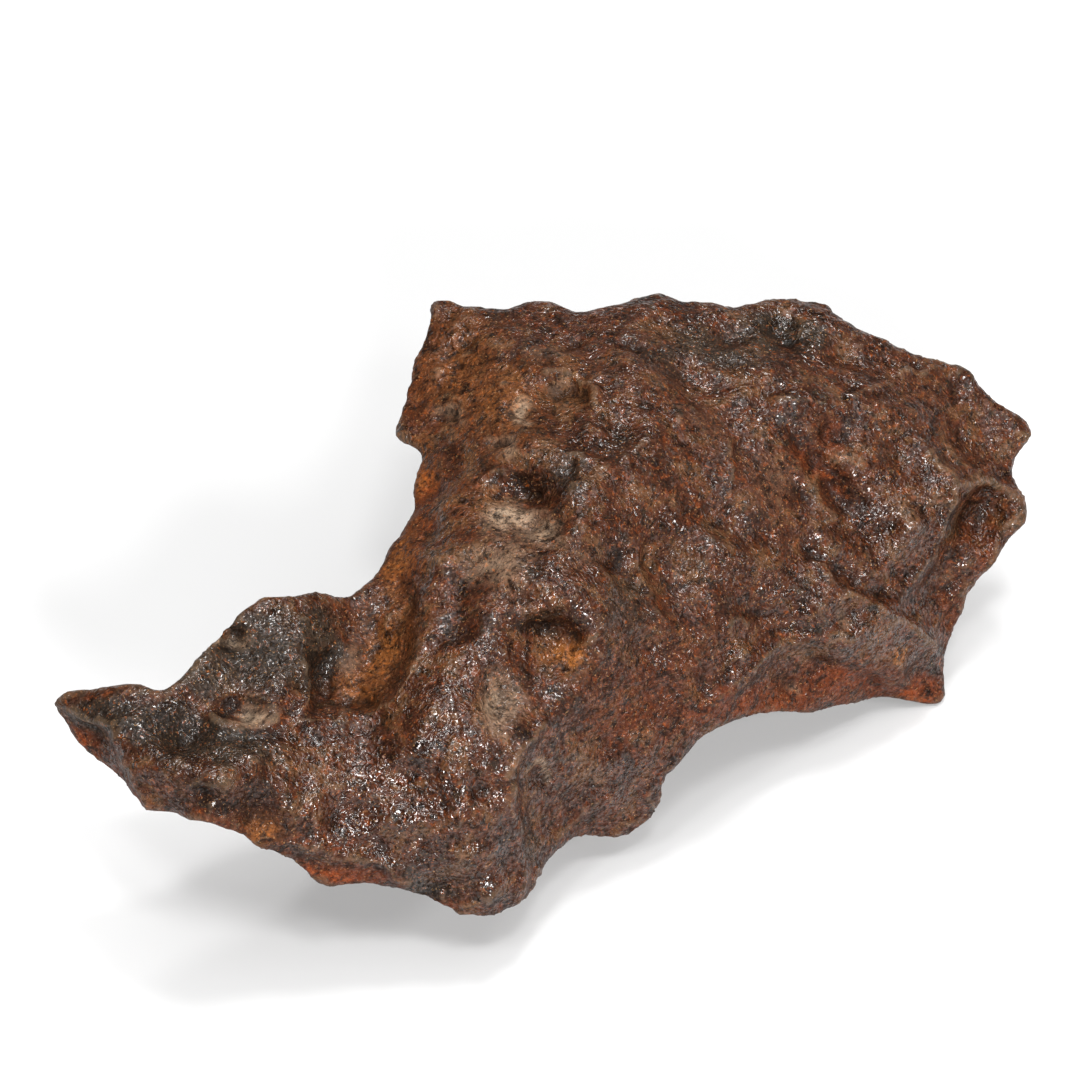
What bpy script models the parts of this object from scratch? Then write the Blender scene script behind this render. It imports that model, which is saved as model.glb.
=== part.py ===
"""An iron meteorite: one solid lump of nickel-iron, 355 mm long, that rests on three worn feet.

The lump is shaped as a sculptor would rough it out of one block:

1. RIM is its edge, all the way round, as it shows from 45 degrees above the ground.
2. FACE and UNDERSIDE are heights on either side of that edge. A thin plate bent through them
   gives each sheet of skin, and the two sheets meet at the rim.
3. Thumbprints, the hollows left where iron melted away in its fall through the air, are
   pressed into the skin. Where two of them meet, a sharp ridge is left standing.
4. The feet are worn flat where it stands.

Lengths are in millimetres until the mesh is made. Across runs along X. Up runs up the sight
plane, which leans back LEAN degrees from upright, and height is measured from the ground.
"""

import math

import bmesh
import bpy
import numpy as np
from mathutils import Vector, geometry, noise

MM = 0.001
LEAN = math.radians(45)

# Each point of the rim is (across, up, height).
RIM = [
    # the left arm: its tip, and the edge of its flat top
    (-176, -59, 92), (-173, -56, 95), (-169, -54.5, 97), (-160, -54, 100), (-147, -52.3, 104),
    (-142, -53.5, 104), (-137, -55, 104), (-133, -53.5, 104), (-128, -49, 105), (-124, -44, 106),
    (-120, -38, 107), (-116, -34, 108), (-112, -29, 110), (-109, -26, 111), (-105, -23, 112),
    (-100, -20.5, 113), (-92, -20, 112), (-86, -19, 110), (-81, -18.5, 107), (-77, -19.3, 104),
    (-69, -19.3, 100), (-66, -18, 99),
    # the bay between the arm and the horn
    (-62, -14, 98), (-58, -10, 98), (-56.5, -5, 99), (-54, -0.5, 100), (-49, 4.5, 101),
    (-46.5, 11, 102), (-47.5, 15, 102), (-46, 20, 102), (-43.5, 27, 102), (-42, 30.5, 102),
    # the horn's edge
    (-45, 33, 102), (-50, 35, 102), (-53.4, 39, 102), (-51.5, 43, 104), (-50, 50, 106),
    (-49.5, 55, 108), (-47.5, 61, 110), (-46.5, 66, 112), (-44, 70, 113), (-42, 78, 115),
    (-40.5, 85.5, 117), (-37, 88, 118),
    # the back edge, in four low waves
    (-33, 87.7, 118), (-28, 86, 118), (-20, 85, 118), (-12, 83.8, 118), (-7, 85.3, 118),
    (-4, 87, 118), (2, 87.2, 118), (7, 85.5, 118), (13, 82, 118), (20, 83, 118), (26, 85, 118),
    (30, 86, 118), (35, 88.7, 117), (42, 89.8, 116), (47, 89.6, 116), (51, 87.3, 115),
    (60, 87, 114), (69, 85, 112), (76, 86.5, 111), (82, 89, 110), (90, 87.5, 109),
    (101, 87.2, 107), (105, 86, 106), (109, 81, 105), (113, 78, 103), (121, 74, 100),
    (130, 70, 97), (137, 67.5, 94), (141, 65.5, 92), (150, 63.8, 88), (157, 61, 85),
    # the right end
    (161, 56, 82), (165, 51, 79), (170, 47, 77), (175, 44.5, 74), (179, 39.5, 71),
    (177.5, 35, 69), (174, 31, 66), (172, 27, 64), (173, 20, 60), (176, 14, 57),
    (176.5, 9, 55), (175.5, 5, 53), (172, 2, 50), (168, -3, 46), (165, -8, 43),
    (160, -13.5, 38), (155, -20, 32), (154, -24, 29), (152, -31, 24), (149, -38, 18),
    (147, -46, 12), (147, -57.5, 1),
    # the arch, under the right half of the front
    (144, -59.5, 1), (139, -60, 2), (133, -58.5, 5), (126, -57, 8), (118, -58.5, 12),
    (110, -61, 17), (102, -62.5, 22), (93, -63.5, 28), (86, -63, 33), (78, -64, 38),
    (70, -66.5, 43), (60, -70.5, 45), (54, -77, 42), (47, -84, 38), (44, -90, 32),
    (42, -99, 20), (36.5, -103.5, 16), (35, -106, 14), (31, -109, 12), (25, -108.8, 14),
    (18, -108, 18), (11, -110, 24), (4, -114.5, 26), (0, -121, 26), (-3, -127, 25),
    (-6, -131, 24), (-12, -135, 23), (-18, -138, 23),
    # the lower front edge, and the end of the arm
    (-26, -136.3, 26), (-36, -132.5, 30), (-44, -129.5, 34), (-48, -127, 37), (-54, -125.8, 39),
    (-66, -124, 43), (-75, -125, 44), (-80, -124, 46), (-86, -119, 52), (-92, -114.5, 58),
    (-101, -112, 66), (-108, -107.5, 73), (-115, -103.5, 79), (-120, -101.5, 81),
    (-128, -100.5, 78), (-132, -98.8, 77), (-142, -98, 75), (-145, -94, 74), (-152, -87, 74),
    (-157, -82, 76), (-163, -77, 78), (-168, -71, 81), (-171, -65, 85),
]

# Heights of the face, each (across, up, height).
FACE = [
    # the arm: its end, front and flat top
    (-162, -69, 90), (-150, -60, 103), (-151, -68, 100), (-147, -78, 95), (-143, -88, 89),
    (-158, -60, 101), (-157, -76, 84), (-150, -86, 80), (-138, -62, 101), (-138, -75, 99), (-130, -90, 92), (-130, -81, 99),
    (-125, -70, 97), (-115, -84, 99), (-115, -95, 89), (-100, -97, 82), (-100, -106, 74),
    (-100, -80, 97), (-90, -85, 90), (-125, -56, 102), (-112, -47, 104), (-97, -44, 104),
    (-97, -60, 99), (-88, -60, 96), (-105, -72, 96), (-88, -72, 91), (-110, -34, 107),
    (-98, -30, 110), (-88, -30, 109), (-86, -48, 102), (-78, -30, 104),
    # the pocket behind the arm, and the flank that rises from it
    (-77, -52, 88), (-70, -60, 86), (-60, -62, 88), (-66, -45, 91), (-66, -30, 96),
    (-56, -40, 95), (-54, -25, 100), (-52, -10, 103), (-46, -45, 97), (-41, -32, 104),
    (-38, -20, 109), (-40, -5, 112), (-35, 10, 114), (-38, 22, 111),
    # the brow above the lower front edge
    (-90, -100, 80), (-88, -110, 67), (-80, -115, 58), (-66, -117, 54), (-52, -121, 48),
    (-72, -72, 91), (-70, -88, 82), (-70, -104, 69), (-50, -68, 95), (-50, -82, 86),
    (-50, -98, 74), (-50, -112, 60), (-38, -55, 103), (-35, -75, 93), (-32, -92, 80),
    (-30, -110, 63), (-30, -125, 43), (-18, -128, 37), (-16, -112, 56), (-14, -98, 69),
    (-12, -82, 82), (-8, -74, 87), (-20, -66, 96), (-4, -116, 38), (-5, -100, 54),
    # the middle of the face
    (-30, -40, 108), (-22, -50, 104), (-14, -54, 99), (-20, -30, 113), (-25, -14, 115),
    (-10, -18, 119), (5, -14, 121), (16, -18, 117), (-14, -2, 120), (0, 2, 119), (-6, 14, 115),
    (-8, 28, 128), (8, 22, 129), (15, 5, 125), (5, -38, 101), (18, -42, 100), (12, -58, 90),
    (0, -60, 91), (24, -30, 106), (28, -8, 113), (30, 15, 123), (26, 35, 129),
    # the right front flank, down to the arch
    (0, -86, 66), (12, -75, 70), (12, -92, 48), (22, -98, 36), (28, -82, 52), (25, -66, 70),
    (38, -70, 63), (40, -86, 40), (44, -56, 72), (58, -58, 64), (50, -72, 52), (40, -40, 86),
    (34, -20, 103), (48, -24, 95), (46, 0, 106), (60, -38, 80), (72, -44, 68), (82, -40, 63),
    (92, -38, 59), (104, -41, 50), (116, -47, 36), (126, -48, 26), (138, -48, 16),
    (90, -52, 44), (106, -54, 32),
    # the right half
    (62, -14, 94), (60, 12, 109), (76, -22, 82), (78, -4, 91), (88, -28, 70), (96, -14, 78),
    (108, -22, 71), (122, -29, 57), (136, -38, 36), (128, -43, 34), (110, -34, 58),
    (116, -12, 71), (118, 2, 77), (104, 2, 86), (92, 14, 96), (76, 14, 104), (72, 34, 113),
    (86, 34, 108), (102, 14, 93), (96, 46, 111), (112, 40, 103), (118, 22, 93), (130, 10, 83),
    (140, 4, 76), (146, 18, 81), (134, 28, 90), (142, 34, 88), (124, 46, 101), (140, 50, 92),
    (152, 30, 80), (156, 46, 82), (166, 34, 73), (168, 20, 64), (156, 21, 76), (158, 10, 62),
    (150, 2, 56), (146, -10, 48), (140, -20, 42), (134, -10, 62), (128, -20, 59), (166, 4, 54),
    (156, -10, 46), (146, -32, 30),
    # the back slope and the horn
    (52, 30, 119), (42, 46, 124), (60, 48, 118), (46, 66, 124), (66, 66, 117), (84, 60, 115),
    (90, 74, 113), (106, 66, 108), (122, 62, 101), (136, 60, 95), (150, 55, 87), (30, 76, 123),
    (30, 60, 126), (14, 74, 123), (8, 64, 126), (8, 50, 123), (-8, 64, 125), (-8, 46, 124),
    (-22, 74, 122), (-24, 58, 120), (-32, 46, 116), (-36, 34, 112), (-20, 36, 121), (-36, 70, 118),
    (-26, 26, 118), (-22, 12, 117),
]

# Heights of the side that can't be seen from the face, each (across, up, height).
UNDERSIDE = [
    # under the arm
    (-165, -64, 84), (-152, -70, 76), (-140, -80, 72), (-125, -88, 66), (-110, -92, 58),
    (-95, -100, 50), (-140, -62, 84), (-125, -62, 74), (-110, -66, 60), (-112, -44, 88),
    (-95, -40, 84), (-92, -66, 54), (-80, -104, 40), (-75, -80, 36), (-76, -46, 66),
    (-66, -30, 78), (-60, -110, 34), (-55, -85, 22), (-58, -55, 34), (-50, -20, 70),
    # the front foot, and the hollow behind it
    (-36, -116, 24), (-18, -120, 15), (-30, -95, 12), (-8, -104, 6), (4, -100, 0), (14, -96, 0),
    (8, -88, 0), (-2, -92, 1), (24, -94, 6), (34, -86, 16), (-30, -70, 8), (-36, -45, 16),
    # the back foot, and the wall above it
    (-34, -16, 0), (-26, -22, 0), (-26, -10, 1), (-38, -24, 4), (-42, -4, 30), (-36, 12, 52),
    (-26, 8, 24), (-20, 24, 40), (-34, 32, 70), (-38, 52, 86), (-22, 48, 68), (-30, 72, 98),
    (0, 66, 88), (0, 44, 55), (0, 20, 37), (-6, 0, 10), (4, -24, 6), (0, -50, 9), (12, -70, 6),
    # under the middle and the arch
    (30, 70, 94), (36, 48, 69), (34, 20, 25), (30, -6, 14), (32, -36, 12), (36, -62, 18),
    (60, 68, 88), (66, 44, 52), (64, 16, 36), (62, -10, 16), (60, -34, 20), (62, -54, 32),
    (90, 66, 82), (92, 42, 63), (92, 14, 22), (90, -12, 15), (88, -32, 22), (88, -50, 30),
    # under the right end, down to its foot
    (120, 54, 72), (120, 30, 46), (118, 4, 24), (116, -18, 12), (112, -38, 14), (112, -52, 14),
    (146, 46, 66), (148, 24, 48), (144, 2, 28), (138, -20, 12), (133, -36, 5), (136, -45, -1),
    (142, -48, -2), (138, -53, -2), (168, 34, 60), (166, 12, 46), (156, -6, 32), (148, -28, 14),
]

# Thumbprints in the face, each (across, up, length, width, turn in degrees, depth). A depth below
# nothing is a bump.
PRINTS = [
    # the arm
    (-128, -71, 22, 14, 0, 3.5), (-108, -60, 23, 13, -5, 3), (-111, -35, 13, 12, 0, 2.5),
    (-94, -31, 18, 12, 0, 3), (-79, -50, 28, 16, 80, 3.5), (-66, -59, 18, 12, 10, 3),
    (-104, -98, 28, 18, -15, 3), (-121, -93, 18, 13, 10, 2.5), (-85, -91, 22, 10, 80, 2.5),
    (-150, -86, 12, 16, 0, 2), (-162, -70, 14, 10, -60, 2), (-96, -81, 16, 12, -20, 2.5),
    (-139, -89, 14, 12, 0, 2), (-150, -60, 16, 7, 5, 1.5),
    # the flank behind the arm
    (-61, -40, 26, 11, 60, 3), (-50, -22, 26, 10, 75, 2.5), (-53, -5, 14, 9, 60, 2),
    (-42, 22, 13, 10, 80, 3), (-42, 4, 16, 9, 80, 2),
    # the brow above the lower front edge
    (-68, -98, 26, 20, -25, 3.5), (-48, -86, 24, 18, 10, 3), (-40, -112, 22, 14, -20, 3),
    (-64, -78, 22, 12, 5, 2.5), (-22, -91, 14, 12, 0, 3.5), (-25, -109, 18, 14, -20, 3),
    (-36, -68, 20, 14, 40, 2.5), (-58, -113, 18, 9, -10, 2), (-17, -127, 17, 14, 0, -3),
    # the middle of the face
    (-15, -58, 28, 17, 80, 4), (5, -41, 31, 28, 0, 3.5), (3, -33, 19, 13, 0, 2),
    (-5, 19, 34, 20, -8, 4.5), (-2, 4, 22, 12, 20, 2),
    (-20, -8, 22, 16, 30, 3), (-28, -30, 20, 14, 60, 3), (-7, -20, 20, 12, 0, 2.5),
    (29, -9, 26, 12, -55, 4), (14, -8, 18, 12, 30, 2), (12, 26, 16, 12, 0, 2),
    (28, 38, 24, 16, 20, 2.5), (24, 8, 18, 16, 0, 2.5),
    # the right front flank
    (3, -87, 15, 13, 0, 3.5), (20, -92, 9, 18, 0, 1.5), (40, -63, 36, 24, 30, 3.5),
    (24, -76, 18, 14, 20, 2.5), (42, -88, 14, 20, -30, 2), (38, -40, 20, 14, -20, 2.5),
    (101, -47, 14, 11, 0, 4), (88, -53, 18, 8, 0, 2), (120, -52, 16, 7, -25, 2),
    (72, -42, 10, 9, 0, -2.5), (128, -43, 11, 8, 0, -2.5), (60, -50, 16, 10, 20, 2),
    # the right half
    (48, -14, 40, 26, -50, 5), (64, 12, 44, 24, -40, 4), (58, 34, 26, 13, -35, 2.5),
    (103, 25, 38, 14, -48, 3), (109, 18, 20, 12, -52, 4), (107, 38, 14, 12, 0, 4),
    (95, 18, 20, 12, -45, 2),
    (100, -5, 18, 11, -60, 4), (112, -13, 18, 10, -25, 4), (124, -18, 14, 9, -15, 3),
    (110, -27, 15, 14, 0, 4), (76, -26, 22, 11, -25, 3), (126, 2, 18, 12, 60, 2),
    (138, 14, 16, 20, 20, 2), (161, 8, 25, 16, 75, 4.5), (150, -30, 14, 10, -70, 2.5),
    (130, 34, 20, 14, -40, 2.5), (150, 40, 26, 11, -50, 2.5), (167, 37, 10, 9, 0, -2.5),
    # the back slope and the horn
    (54, 58, 38, 18, -40, 4), (84, 54, 14, 8, 0, 2.5), (88, 78, 18, 11, 0, 3.5),
    (90, 72, 12, 6, 0, 2), (70, 74, 18, 12, 10, 2.5), (112, 66, 24, 12, -20, 3),
    (137, 62, 10, 8, 30, 2.5), (153, 55, 17, 8, 40, 2.5), (33, 71, 13, 8, 0, 2.5),
    (12, 71, 14, 8, 0, 2), (10, 54, 20, 11, 0, 3.5), (-33, 46, 14, 10, 0, 3),
    (-8, 48, 13, 12, 0, 2), (-15, 35, 14, 9, 0, 2.5), (-27, 68, 22, 14, 20, 3),
    (-28, 30, 12, 14, 0, 2), (48, 76, 22, 12, 0, 2.5),
]

# Ridges in the face, each (height, width, points). A height below nothing is a groove.
RIDGES = [
    (2.5, 7, [(-170, -61), (-160, -64), (-154, -68), (-149, -76), (-146, -86), (-142, -96)]),
    (2, 6, [(-140, -79), (-130, -81), (-120, -84), (-112, -87)]),
    (2, 5, [(-118, -65), (-110, -68), (-97, -65)]),
    (2.5, 5, [(-85, -44), (-84, -52), (-86, -62)]),
    (3, 8, [(-88, -65), (-74, -63), (-61, -62), (-52, -57), (-46, -48), (-41, -34), (-36, -8)]),
    (2, 6, [(-92, -110), (-80, -110), (-68, -112), (-57, -116), (-47, -124)]),
    (3, 7, [(2, -66), (-8, -75), (-12, -83), (-10, -97), (-8, -107), (-6, -120), (-7, -131)]),
    (3, 7, [(60, -62), (70, -53), (78, -44), (86, -38), (100, -37), (112, -41), (134, -52)]),
    (2.5, 6, [(98, -12), (107, -17), (118, -22), (129, -28), (142, -38)]),
    (2.5, 5, [(140, 31), (148, 22), (148, 8), (143, -5), (135, -15), (129, -22)]),
    (2, 4, [(150, 20), (158, 21), (166, 20), (173, 15)]),
    (1.5, 5, [(0, 60), (13, 60), (20, 56), (20, 48)]),
    (3.5, 13, [(66, -2), (80, -11), (95, -20), (112, -34), (132, -43)]),
    (2, 7, [(76, 58), (95, 53), (116, 49), (134, 46)]),
    (-3.5, 5, [(92, 38), (98, 32), (106, 24), (114, 12)]),
    (1.5, 5, [(36, 2), (38, -10), (42, -22), (44, -34)]),
    (1.5, 5, [(-20, 12), (-8, 8), (6, 10), (14, 20), (14, 32)]),
]

RIM_OUT = 0.9  # the rim is set out by what a coarse skin takes off it
EDGE_WIDTH = 5.5  # the rim's edge is rounded over this distance
EDGE_HEIGHT = 3  # and it stands this much above and below the rim's middle
EDGE_KEPT = 7  # nothing is pressed into the skin closer to the rim than this
GRID = 2.2
VOXEL = 1.8

# The thumbprints that can't be seen from the face are scattered by chance, side by side.
HIDDEN_SPACING = 30
HIDDEN_DEPTH = (2, 8)
FOOT_KEPT = 5  # nothing is pressed into the skin this close to the ground
SEED = 11

# No thumbprint is a true oval: its place is pushed about by this much, in waves of this size.
WAVER = 3.2
WAVER_SIZE = 15

LUMP_SIZE = 17
LUMP_HEIGHT = 1.3
HIDDEN_LUMPS = 0.4  # out of sight from the face the lumps are this much lower
FEET_WORN = 2  # the depth that wear took off the feet
FEET_POLISHED = 0.15  # and what it takes off once the skin is coarser, to leave them level
TRIANGLES = 9900

PATINA = (0.078, 0.036, 0.022, 1)
PATINA_ROUGHNESS = 0.5
PATINA_METALLIC = 0.35


def closed_curve(points, spacing):
    """Points along a smooth closed curve through these ones, a Catmull-Rom spline."""
    count = len(points)
    made = []
    for i in range(count):
        before, start, end, after = (Vector(points[(i + k) % count]) for k in (-1, 0, 1, 2))
        steps = max(1, round((end - start).length / spacing))
        for step in range(steps):
            t = step / steps
            made.append(
                0.5
                * (
                    2 * start
                    + (end - before) * t
                    + (2 * before - 5 * start + 4 * end - after) * t**2
                    + (3 * start - before - 3 * end + after) * t**3
                )
            )
    return np.array(made)


def bent_plate(knots):
    """The height of a thin plate that is bent to pass through these knots, as a function."""
    places, heights = knots[:, :2], knots[:, 2]

    def bend(points):
        distance = np.linalg.norm(points[:, None] - places[None], axis=2)
        return distance**2 * np.log(distance + 1e-9)

    count = len(knots)
    plane = np.column_stack([np.ones(count), places])
    system = np.zeros((count + 3, count + 3))
    system[:count, :count] = bend(places)
    system[:count, count:] = plane
    system[count:, :count] = plane.T
    weights = np.linalg.solve(system, np.append(heights, np.zeros(3)))

    def height(points):
        flat = np.column_stack([np.ones(len(points)), points])
        return np.hstack([bend(points), flat]) @ weights

    return height


def in_space(across, up, height):
    """A point of the sight plane and its height, as X, Y and Z."""
    return np.column_stack([across, (up - height * math.cos(LEAN)) / math.sin(LEAN), height])


def distance_to_line(line, points):
    """How far each point is from a line of several parts."""
    nearest = np.full(len(points), np.inf)
    for start, end in zip(line[:-1], line[1:]):
        along = end - start
        share = np.clip((points - start) @ along / (along @ along), 0, 1)
        gap = np.linalg.norm(points - start - share[:, None] * along, axis=1)
        nearest = np.minimum(nearest, gap)
    return nearest


def distance_to(curve, points):
    """How far each point is from a closed polygon."""
    return distance_to_line(np.vstack([curve, curve[:1]]), points)


def inside(curve, points):
    """Which points lie inside a closed polygon, by counting the edges that a ray crosses."""
    within = np.zeros(len(points), bool)
    for (x0, y0), (x1, y1) in zip(curve, np.roll(curve, -1, axis=0)):
        if y0 == y1:
            continue
        crosses = (y0 > points[:, 1]) != (y1 > points[:, 1])
        where = x0 + (points[:, 1] - y0) * (x1 - x0) / (y1 - y0)
        within ^= crosses & (points[:, 0] < where)
    return within


def rim_line():
    """The rim in the sight plane, set out a little. It runs clockwise, so its left is outside."""
    line = closed_curve(RIM, GRID)[:, :2]
    way = np.roll(line, -2, axis=0) - np.roll(line, 2, axis=0)
    way /= np.linalg.norm(way, axis=1)[:, None]
    return line + RIM_OUT * np.column_stack([-way[:, 1], way[:, 0]])


def rough_form():
    """The two bent sheets, joined at the rim into one closed mesh."""
    outline = rim_line()
    low, high = outline.min(axis=0), outline.max(axis=0)
    columns = np.arange(low[0], high[0], GRID)
    rows = np.arange(low[1], high[1], GRID * math.sin(math.radians(60)))
    grid = np.array([(x + (j % 2) * GRID / 2, y) for j, y in enumerate(rows) for x in columns])
    grid = grid[inside(outline, grid)]
    depth_in = distance_to(outline, grid)
    grid, depth_in = grid[depth_in > GRID / 4], depth_in[depth_in > GRID / 4]

    points = [Vector(p) for p in np.vstack([outline, grid])]
    edges = [(i, (i + 1) % len(outline)) for i in range(len(outline))]
    flat, _, faces, _, _, _ = geometry.delaunay_2d_cdt(points, edges, [], 1, 1e-6)
    flat = np.array(flat)

    knots = np.array(RIM)
    rim_height = bent_plate(knots)(flat)
    depth_in = distance_to(outline, flat)
    ease = np.clip(depth_in / EDGE_WIDTH, 0, 1)
    rounded = np.sqrt(1 - (1 - ease) ** 2)
    sheets = []
    for side, heights in ((1, FACE), (-1, UNDERSIDE)):
        raised = knots + [0, 0, side * EDGE_HEIGHT]
        sheet = bent_plate(np.vstack([raised, heights]))(flat)
        sheets.append(rim_height + (sheet - rim_height) * rounded)

    mesh = bpy.data.meshes.new("rough_form")
    count = len(flat)
    on_rim = depth_in < 1e-4
    under = np.where(on_rim, np.arange(count), np.arange(count) + count)
    verts = np.vstack([in_space(*flat.T, sheet) for sheet in sheets])
    top = [tuple(face) for face in faces]
    bottom = [tuple(under[i] for i in reversed(face)) for face in faces]
    mesh.from_pydata((verts * MM).tolist(), [], top + bottom)
    form = bmesh.new()
    form.from_mesh(mesh)
    loose = [v for v in form.verts if not v.link_faces]
    bmesh.ops.delete(form, geom=loose, context="VERTS")
    bmesh.ops.recalc_face_normals(form, faces=form.faces)
    form.to_mesh(mesh)
    form.free()
    return mesh


def applied(obj):
    """The object's mesh with its modifiers applied, on the object in place of the old one."""
    graph = bpy.context.evaluated_depsgraph_get()
    mesh = bpy.data.meshes.new_from_object(obj.evaluated_get(graph))
    obj.modifiers.clear()
    obj.data = mesh


def skin(mesh):
    """The places and the normals of the mesh's points, in millimetres."""
    count = len(mesh.vertices)
    places, normals = np.empty(count * 3), np.empty(count * 3)
    mesh.vertices.foreach_get("co", places)
    mesh.vertices.foreach_get("normal", normals)
    return places.reshape(-1, 3) / MM, normals.reshape(-1, 3)


def move_skin(mesh, places):
    mesh.vertices.foreach_set("co", (places * MM).ravel())
    mesh.update()


def turned(across, up, degrees):
    """Two coordinates measured along axes that are turned by this much."""
    turn = math.radians(degrees)
    return (
        across * math.cos(turn) + up * math.sin(turn),
        up * math.cos(turn) - across * math.sin(turn),
    )


def bowl(along, aside):
    """A thumbprint's depth, as a share: a round floor that eases out at its edge."""
    return np.clip(1 - along**2 - aside**2, 0, 1) ** 1.25


def outward(normals, strength):
    """The way out of the skin, averaged over a patch."""
    way = (normals * strength[:, None]).sum(axis=0)
    return way / np.linalg.norm(way)


def as_seen(places):
    """Where these places lie in the sight plane, as across and up."""
    lift = np.array([0, math.sin(LEAN), math.cos(LEAN)])
    return np.column_stack([places[:, 0], places @ lift])


def kept_edge(places):
    """How far each place may be worked: not at all on the rim, and fully a little way in."""
    depth_in = distance_to(rim_line(), as_seen(places))
    return np.clip(depth_in / EDGE_KEPT, 0, 1)


def wavered(places):
    """The places pushed about in slow waves."""
    pushes = [noise.noise_vector(Vector(p) / WAVER_SIZE) for p in places]
    return places + np.array(pushes) * WAVER


def work_face(mesh):
    """Press the thumbprints into the face and raise its ridges."""
    places, normals = skin(mesh)
    sight = np.array([0, -math.cos(LEAN), math.sin(LEAN)])
    seen = kept_edge(places) * (normals @ sight > -0.1)
    across, up = as_seen(wavered(places)).T
    moved = np.zeros_like(places)
    for x, y, length, width, turn, depth in PRINTS:
        along, aside = turned(across - x, up - y, turn)
        share = bowl(along / (length / 2), aside / (width / 2)) * seen
        moved -= share[:, None] * depth * outward(normals, share)
    for height, width, line in RIDGES:
        gap = distance_to_line(np.array(line), as_seen(places))
        share = np.clip(1 - gap / width, 0, 1) ** 1.5 * seen
        moved += share[:, None] * height * normals
    move_skin(mesh, places + moved)


def work_hidden_side(mesh):
    """Press thumbprints side by side into the back, the ends and the underside."""
    chance = np.random.default_rng(SEED)
    places, normals = skin(mesh)
    sight = np.array([0, -math.cos(LEAN), math.sin(LEAN)])
    hidden = np.clip((0.1 - normals @ sight) / 0.25, 0, 1) * kept_edge(places)
    hidden *= np.clip((places[:, 2] - places[:, 2].min() - FOOT_KEPT) / FOOT_KEPT, 0, 1)
    centres = []
    for place in chance.permutation(places):
        if all(np.linalg.norm(place - c) > HIDDEN_SPACING for c in centres):
            centres.append(place)
    uneven = wavered(places)
    gaps = np.array([np.linalg.norm(uneven - c, axis=1) for c in centres])
    owner = gaps.argmin(axis=0)
    nearest, second = np.partition(gaps, 1, axis=0)[:2]
    share = (1 - (nearest / second) ** 2) * hidden
    depths = chance.uniform(*HIDDEN_DEPTH, len(centres))
    moved = np.zeros_like(places)
    for i, depth in enumerate(depths):
        print_share = share * (owner == i)
        if print_share.any():
            moved -= print_share[:, None] * depth * outward(normals, print_share)
    move_skin(mesh, places + moved)


def work_lumps(mesh):
    """Uneven lumps all over, as metal that melted and set in patches."""
    places, normals = skin(mesh)
    heights = [noise.fractal(Vector(p) / LUMP_SIZE, 1, 2, 3) for p in places]
    facing = normals @ np.array([0, -math.cos(LEAN), math.sin(LEAN)])
    lower = np.where(facing < -0.1, HIDDEN_LUMPS, 1)
    lifted = np.array(heights) * kept_edge(places) * LUMP_HEIGHT * lower
    move_skin(mesh, places + normals * lifted[:, None])


def wear_feet(mesh, depth):
    """Flatten the lowest points, and set the lump down on the ground under its middle."""
    places, _ = skin(mesh)
    worn = places[:, 2].min() + depth
    places[:, 2] = np.maximum(places[:, 2], worn)
    middle = (places.min(axis=0) + places.max(axis=0)) / 2
    move_skin(mesh, places - [middle[0], middle[1], worn])


def oxidised_iron():
    """The dark rust-brown skin."""
    material = bpy.data.materials.new("oxidised_iron")
    material.use_nodes = True
    shader = material.node_tree.nodes["Principled BSDF"]
    shader.inputs["Base Color"].default_value = PATINA
    shader.inputs["Roughness"].default_value = PATINA_ROUGHNESS
    shader.inputs["Metallic"].default_value = PATINA_METALLIC
    return material


def main():
    for obj in list(bpy.data.objects):
        bpy.data.objects.remove(obj)
    collection = bpy.data.collections.new("Meteorite")
    bpy.context.scene.collection.children.link(collection)
    stone = bpy.data.objects.new("meteorite", rough_form())
    collection.objects.link(stone)
    bpy.context.view_layer.update()

    remesh = stone.modifiers.new("even_skin", "REMESH")
    remesh.mode = "VOXEL"
    remesh.voxel_size = VOXEL * MM
    applied(stone)
    work_hidden_side(stone.data)
    work_face(stone.data)
    work_lumps(stone.data)
    wear_feet(stone.data, FEET_WORN)
    decimate = stone.modifiers.new("coarsen", "DECIMATE")
    decimate.ratio = TRIANGLES / (2 * len(stone.data.polygons))
    decimate.use_collapse_triangulate = True
    applied(stone)
    wear_feet(stone.data, FEET_POLISHED)
    stone.data.materials.append(oxidised_iron())
    stone.data.shade_smooth()


main()
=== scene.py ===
import math

import bmesh
import bpy
import numpy as np
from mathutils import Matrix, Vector, noise


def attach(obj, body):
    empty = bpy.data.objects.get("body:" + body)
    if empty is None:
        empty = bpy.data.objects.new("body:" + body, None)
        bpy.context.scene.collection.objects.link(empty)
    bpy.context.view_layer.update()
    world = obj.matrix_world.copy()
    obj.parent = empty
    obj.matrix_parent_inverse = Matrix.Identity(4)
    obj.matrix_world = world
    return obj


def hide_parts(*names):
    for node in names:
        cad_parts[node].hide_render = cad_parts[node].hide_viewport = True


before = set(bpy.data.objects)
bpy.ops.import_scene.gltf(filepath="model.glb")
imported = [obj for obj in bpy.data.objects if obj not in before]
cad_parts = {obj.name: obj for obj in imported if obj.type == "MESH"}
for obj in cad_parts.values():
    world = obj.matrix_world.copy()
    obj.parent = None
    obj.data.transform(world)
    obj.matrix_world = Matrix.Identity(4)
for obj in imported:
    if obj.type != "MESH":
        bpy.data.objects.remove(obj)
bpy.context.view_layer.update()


# ------------------------------------------------------------------------------------------------
# The lump. It is one piece of nickel-iron. Its skin melted and blew away in the fall through the
# air, which left thumbprints with sharp edges between them, and then it rusted in the ground.
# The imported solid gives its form, and the finer hollows, lips and flakes are worked into it here.

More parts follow.
